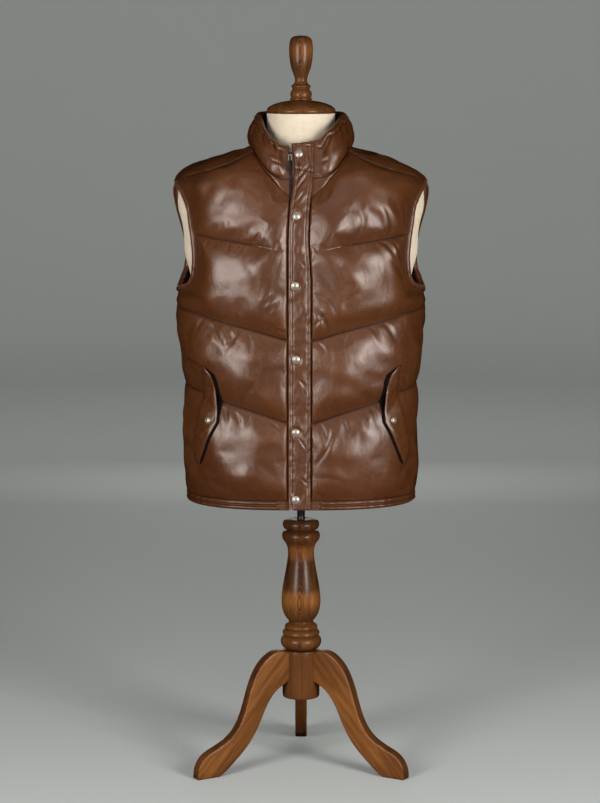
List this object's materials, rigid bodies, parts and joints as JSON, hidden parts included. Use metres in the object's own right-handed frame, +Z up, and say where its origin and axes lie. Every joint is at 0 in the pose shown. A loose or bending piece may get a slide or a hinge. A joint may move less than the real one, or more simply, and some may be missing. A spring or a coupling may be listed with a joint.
{
  "type": "leather puffer vest on dress form",
  "caption": "Padded sleeveless leather vest with stand-up collar, fly front and pocket flaps, worn on a limbless dress form on a turned wooden tripod stand.",
  "frame": {"origin": "on the floor under the middle of the whole part's bounding box", "axes": "+Z up, -Y towards the front of the vest, +X towards the wearer's left"},
  "size_m": [0.457, 0.377, 1.3335],
  "materials": {
    "leather": "semi-gloss dark brown",
    "binding_leather": "semi-gloss dark brown",
    "snap_metal": "aged nickel",
    "zip_metal": "nickel",
    "linen": "woven cream linen",
    "turned_wood": "varnished walnut",
    "dark_metal": "dark satin"
  },
  "bodies": {
    "stand": {"hub": "turned_wood", "column": "turned_wood", "leg_1": "turned_wood", "leg_2": "turned_wood", "leg_3": "turned_wood"},
    "mast": {"pole": "dark_metal"},
    "form": {"zip": "zip_metal", "hem_band": "leather", "collar": "leather", "front_right": "leather", "front_left": "leather", "back": "leather", "binding_right": "binding_leather", "binding_left": "binding_leather", "placket": "leather", "snap_1": "snap_metal", "snap_2": "snap_metal", "snap_3": "snap_metal", "snap_4": "snap_metal", "snap_5": "snap_metal", "snap_6": "snap_metal", "pocket_flap_right": "leather", "flap_snap_right": "snap_metal", "pocket_flap_left": "leather", "flap_snap_left": "snap_metal", "zip_slider": "zip_metal", "dress_form": "linen", "neck_cap": "turned_wood", "finial": "turned_wood"},
    "zip_pull": {"zip_pull": "zip_metal"}
  },
  "joints": [
    {"name": "height", "type": "slide", "parent": "stand", "child": "mast", "axis": [0, 0, 1], "range_m": [0, 0.15]},
    {"name": "swivel", "type": "hinge", "parent": "mast", "child": "form", "pos_m": [0, -0.0325, 0.63], "axis": [0, 0, 1], "continuous": true},
    {"name": "pull_swing", "type": "hinge", "parent": "form", "child": "zip_pull", "pos_m": [-0.01957, -0.13476, 1.12412], "axis": [-0.9776, 0.2069, -0.0392], "range_deg": [0, 150]}
  ]
}
